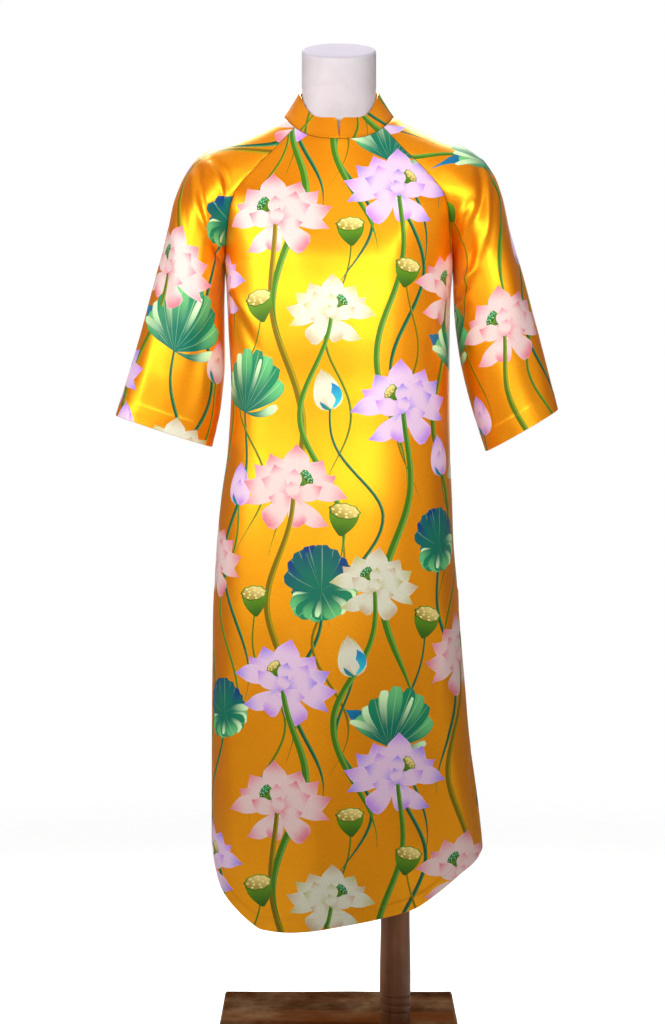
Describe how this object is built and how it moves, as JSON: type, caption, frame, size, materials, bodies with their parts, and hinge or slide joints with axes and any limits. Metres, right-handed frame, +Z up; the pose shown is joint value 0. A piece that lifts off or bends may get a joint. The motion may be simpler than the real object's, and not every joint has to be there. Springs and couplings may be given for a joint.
{
  "type": "ao dai tunic on a dress form stand",
  "caption": "Midi ao dai tunic of lotus-printed satin with raglan sleeves, stand collar and side slits, on a limbless dress form with a wooden post and base.",
  "frame": {"origin": "centre of the flat underside of the base, where the part rests", "axes": "+Z up, the front of the tunic faces -Y, +X is the viewer's right and the wearer's left"},
  "size_m": [0.6176, 0.34, 1.4125],
  "materials": {
    "satin": "golden yellow satin printed with lotus flowers, leaves, pods and stems",
    "form_white": "smooth white coating",
    "wood_post": "turned walnut-brown wood, waxed",
    "wood_base": "dark brown wooden board with a worn wax finish"
  },
  "bodies": {
    "root": {"front_panel": "satin", "back_panel": "satin", "sleeve_left": "satin", "sleeve_right": "satin", "collar": "satin", "dress_form": "form_white", "post": "wood_post", "base": "wood_base"}
  },
  "joints": []
}
